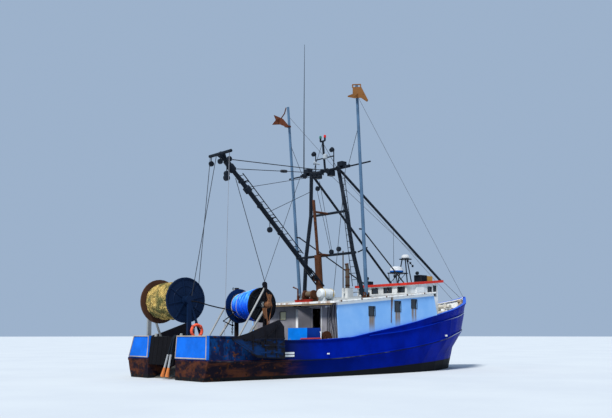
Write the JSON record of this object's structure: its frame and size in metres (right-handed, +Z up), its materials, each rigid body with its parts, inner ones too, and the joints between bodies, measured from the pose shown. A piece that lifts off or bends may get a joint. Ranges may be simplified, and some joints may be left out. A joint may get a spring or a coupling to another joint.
{
  "type": "stern trawler",
  "caption": "Steel stern trawler afloat: decked hull with stern ramp, forward house, gantry, net reels, topping boom and lowering outriggers.",
  "frame": {"origin": "on the waterline plane, on the centreline, halfway between the stern ledge and the stem head", "axes": "+X to the bow, +Y to port, +Z up"},
  "size_m": [22.455, 7.456, 20.5401],
  "materials": {
    "hull_blue": "worn gloss",
    "transom_blue": "worn gloss",
    "panel_blue": "satin, rust streaks",
    "house_white": "satin",
    "roof_red": "satin",
    "black_steel": "worn satin",
    "rusty_steel": "rusty",
    "grey_pole": "dull",
    "orange_paint": "faded",
    "net": "knotted twine",
    "tarp": "woven plastic sheet",
    "tub_blue": "moulded",
    "radome": "gloss",
    "ring_orange": "moulded",
    "bronze": "cast bronze",
    "reel_dark": "worn",
    "grey_steel": "worn",
    "brown_paint": "worn"
  },
  "bodies": {
    "root": {"hull": "hull_blue", "bulwark_starboard": "hull_blue", "bulwark_port": "hull_blue", "bulwark_bow": "hull_blue", "transom_starboard": "transom_blue", "transom_port": "transom_blue", "house_side_starboard": "panel_blue", "house_side_port": "panel_blue", "house_bulkhead_aft": "house_white", "house_front_starboard": "house_white", "house_front_port": "house_white", "house_roof": "house_white", "wheelhouse_side_starboard": "house_white", "wheelhouse_side_port": "house_white", "wheelhouse_front": "house_white", "wheelhouse_aft": "house_white", "wheelhouse_roof": "roof_red", "gantry": "black_steel", "brace_starboard": "black_steel", "brace_port": "black_steel", "centre_post": "rusty_steel", "pole_bracket_starboard": "rusty_steel", "pole_bracket_port": "rusty_steel", "antenna": "black_steel", "aft_reel_stand_starboard": "reel_dark", "aft_reel_stand_port": "grey_steel", "forward_reel_stand_starboard": "rusty_steel", "forward_reel_stand_port": "rusty_steel", "trawl_door_starboard": "rusty_steel", "trawl_door_port": "rusty_steel", "winch_frame_starboard": "rusty_steel", "winch_frame_port": "rusty_steel", "fish_tub": "tub_blue", "hatch_coaming": "grey_steel", "raft_canister": "radome", "exhaust": "grey_steel", "wheelhouse_lockers": "brown_paint", "radar_tower": "house_white", "radome_upper": "radome", "radome_lower": "radome", "windlass_base": "rusty_steel", "life_ring": "ring_orange"},
    "propeller": {"propeller": "bronze"},
    "rudder": {"rudder": "black_steel"},
    "aft_reel": {"aft_reel": "reel_dark", "aft_net": "net"},
    "forward_reel": {"forward_reel": "reel_dark", "forward_net": "tarp"},
    "boom": {"boom": "black_steel"},
    "outrigger_starboard": {"outrigger_starboard": "grey_pole", "paravane_starboard": "orange_paint"},
    "outrigger_port": {"outrigger_port": "grey_pole", "paravane_port": "rusty_steel"},
    "house_door": {"house_door": "brown_paint"},
    "wheelhouse_door_starboard": {"wheelhouse_door_starboard": "house_white"},
    "wheelhouse_door_port": {"wheelhouse_door_port": "house_white"},
    "hatch_lid": {"hatch_lid": "grey_steel"},
    "winch_drum_starboard": {"winch_drum_starboard": "rusty_steel"},
    "winch_drum_port": {"winch_drum_port": "rusty_steel"},
    "windlass_drum": {"windlass_drum": "rusty_steel"}
  },
  "joints": [
    {"name": "propeller_turn", "type": "hinge", "parent": "root", "child": "propeller", "pos_m": [-8.6, 0, -1.55], "axis": [1, 0, 0], "continuous": true},
    {"name": "rudder_turn", "type": "hinge", "parent": "root", "child": "rudder", "pos_m": [-9.95, 0, -2.33], "axis": [0, 0, 1], "range_deg": [-35, 35]},
    {"name": "aft_reel_turn", "type": "hinge", "parent": "root", "child": "aft_reel", "pos_m": [-10.5, 0.25, 3.45], "axis": [0, 1, 0], "continuous": true},
    {"name": "forward_reel_turn", "type": "hinge", "parent": "root", "child": "forward_reel", "pos_m": [-6.25, 0, 3.34], "axis": [0, 1, 0], "continuous": true},
    {"name": "boom_topping", "type": "hinge", "parent": "root", "child": "boom", "pos_m": [-2.04, 0, 4.88], "axis": [0, 1, 0], "range_deg": [-25, 25]},
    {"name": "outrigger_starboard_lower", "type": "hinge", "parent": "root", "child": "outrigger_starboard", "pos_m": [-0.8, -2.52, 3.99], "axis": [1, 0, 0], "range_deg": [0, 60]},
    {"name": "outrigger_port_lower", "type": "hinge", "parent": "root", "child": "outrigger_port", "pos_m": [-0.8, 2.52, 3.99], "axis": [-1, 0, 0], "range_deg": [0, 60]},
    {"name": "house_door_swing", "type": "hinge", "parent": "root", "child": "house_door", "pos_m": [-3.326, -1.13, 1.08], "axis": [0, 0, 1], "range_deg": [-20, 150]},
    {"name": "wheelhouse_door_starboard_swing", "type": "hinge", "parent": "root", "child": "wheelhouse_door_starboard", "pos_m": [4.55, -1.896, 2.86], "axis": [0, 0, 1], "range_deg": [0, 110]},
    {"name": "wheelhouse_door_port_swing", "type": "hinge", "parent": "root", "child": "wheelhouse_door_port", "pos_m": [4.55, 1.896, 2.86], "axis": [0, 0, -1], "range_deg": [0, 110]},
    {"name": "hatch_lid_lift", "type": "hinge", "parent": "root", "child": "hatch_lid", "pos_m": [-4.24, 0, 1.54], "axis": [0, 1, 0], "range_deg": [0, 100]},
    {"name": "winch_starboard_turn", "type": "hinge", "parent": "root", "child": "winch_drum_starboard", "pos_m": [-3.83, -2.45, 1.75], "axis": [0, 1, 0], "continuous": true},
    {"name": "winch_port_turn", "type": "hinge", "parent": "root", "child": "winch_drum_port", "pos_m": [-3.83, 2.45, 1.75], "axis": [0, 1, 0], "continuous": true},
    {"name": "windlass_turn", "type": "hinge", "parent": "root", "child": "windlass_drum", "pos_m": [8.6, 0, 3.64], "axis": [0, 1, 0], "continuous": true}
  ]
}
